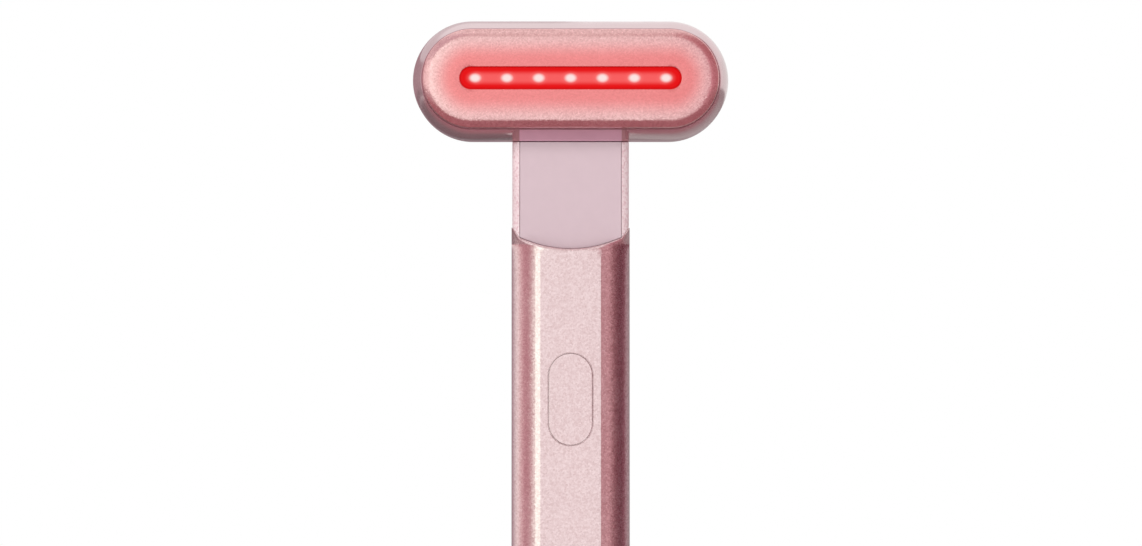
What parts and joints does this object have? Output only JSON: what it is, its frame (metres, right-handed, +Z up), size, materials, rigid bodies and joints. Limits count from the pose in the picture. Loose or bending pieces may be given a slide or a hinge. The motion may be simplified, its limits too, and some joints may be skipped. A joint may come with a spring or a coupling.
{
  "type": "red light therapy wand",
  "caption": "Slim handheld skin wand: level treatment head with a red light window, swivelling on a neck over a metal handle with a push button.",
  "frame": {"origin": "middle of the end cap's underside, on the axis that the head swivels about", "axes": "+Z up along the handle to the head, -Y out of the treatment face and the button, +X to the right seen from the front"},
  "size_m": [0.041, 0.0126, 0.1301],
  "materials": {
    "rose_metal": "satin",
    "plate_metal": "satin",
    "rose_plastic": "satin",
    "smoky_rose": "gloss",
    "frosted_rose": "satin",
    "panel_rose": "satin",
    "collar_rose": "satin",
    "red_lens": "gloss",
    "led_dome": "gloss",
    "bright_steel": "satin",
    "dark_rubber": "matte",
    "circuit_board": "satin",
    "black_plastic": "matte",
    "pale_plastic": "matte",
    "cell_foil": "satin",
    "film_amber": "gloss"
  },
  "bodies": {
    "handle": {"handle_sleeve": "rose_metal", "end_cap": "rose_plastic", "end_seal": "dark_rubber", "cap_screw_left": "bright_steel", "cap_screw_right": "bright_steel", "charging_socket": "bright_steel", "socket_tongue": "black_plastic", "charge_board": "circuit_board", "charge_chip": "black_plastic", "chassis": "pale_plastic", "battery": "cell_foil", "battery_pad": "dark_rubber", "main_board": "circuit_board", "tact_switch": "black_plastic", "driver_chip": "black_plastic", "lead_connector": "pale_plastic", "button_guide": "dark_rubber", "neck_frame": "frosted_rose", "neck_panel": "panel_rose", "neck_screw_left": "bright_steel", "neck_screw_right": "bright_steel"},
    "button": {"button_cap": "rose_metal", "switch_stem": "pale_plastic"},
    "head": {"head_housing": "smoky_rose", "contact_plate": "plate_metal", "light_window": "red_lens", "led_1": "led_dome", "led_2": "led_dome", "led_3": "led_dome", "led_4": "led_dome", "led_5": "led_dome", "led_6": "led_dome", "led_7": "led_dome", "light_board": "circuit_board", "heater_film": "film_amber", "plate_gasket": "dark_rubber", "vibration_motor": "bright_steel", "swivel_collar": "collar_rose", "swivel_spigot": "bright_steel", "stop_ring": "bright_steel", "friction_washer": "pale_plastic", "spigot_clip": "bright_steel", "head_leads": "black_plastic"}
  },
  "joints": [
    {"name": "head_swivel", "type": "hinge", "parent": "handle", "child": "head", "pos_m": [0, 0, 0.1143], "axis": [0, 0, 1], "range_deg": [-90, 90]},
    {"name": "button_press", "type": "slide", "parent": "handle", "child": "button", "axis": [0, 1, 0], "range_m": [0, 0.0003], "stiffness_N_per_m": 2000, "springref_m": -0.0003}
  ]
}
